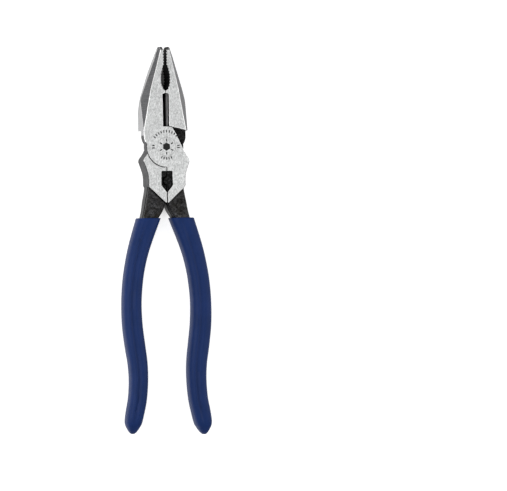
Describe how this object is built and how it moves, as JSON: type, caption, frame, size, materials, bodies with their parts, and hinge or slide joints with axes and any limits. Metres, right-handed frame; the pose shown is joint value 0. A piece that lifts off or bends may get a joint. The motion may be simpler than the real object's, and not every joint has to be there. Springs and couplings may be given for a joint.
{
  "type": "lineman pliers",
  "caption": "Lap-joint lineman pliers with a tapered gripping nose, pipe grip, side cutters, crimper below the rivet and dipped plastic grips.",
  "frame": {"origin": "on the rivet's axis, in the plane of the rear ground face that the pliers lie on", "axes": "+Y towards the nose, +Z out of the front face along the rivet, +X to the right as seen from the front"},
  "size_m": [0.05, 0.2166, 0.013],
  "materials": {
    "forged_steel": "ground and fine-grained on the head, black oxide on the handle shanks",
    "rivet_steel": "ground flush",
    "navy_plastic": "semi-gloss dipped plastic"
  },
  "bodies": {
    "front": {"front_half": "forged_steel", "front_half_grip": "navy_plastic", "rivet": "rivet_steel"},
    "rear": {"rear_half": "forged_steel", "rear_half_grip": "navy_plastic"}
  },
  "joints": [
    {"name": "rivet_pivot", "type": "hinge", "parent": "front", "child": "rear", "pos_m": [0, 0, 0.0065], "axis": [0, 0, -1], "range_deg": [-0.5, 25]}
  ]
}
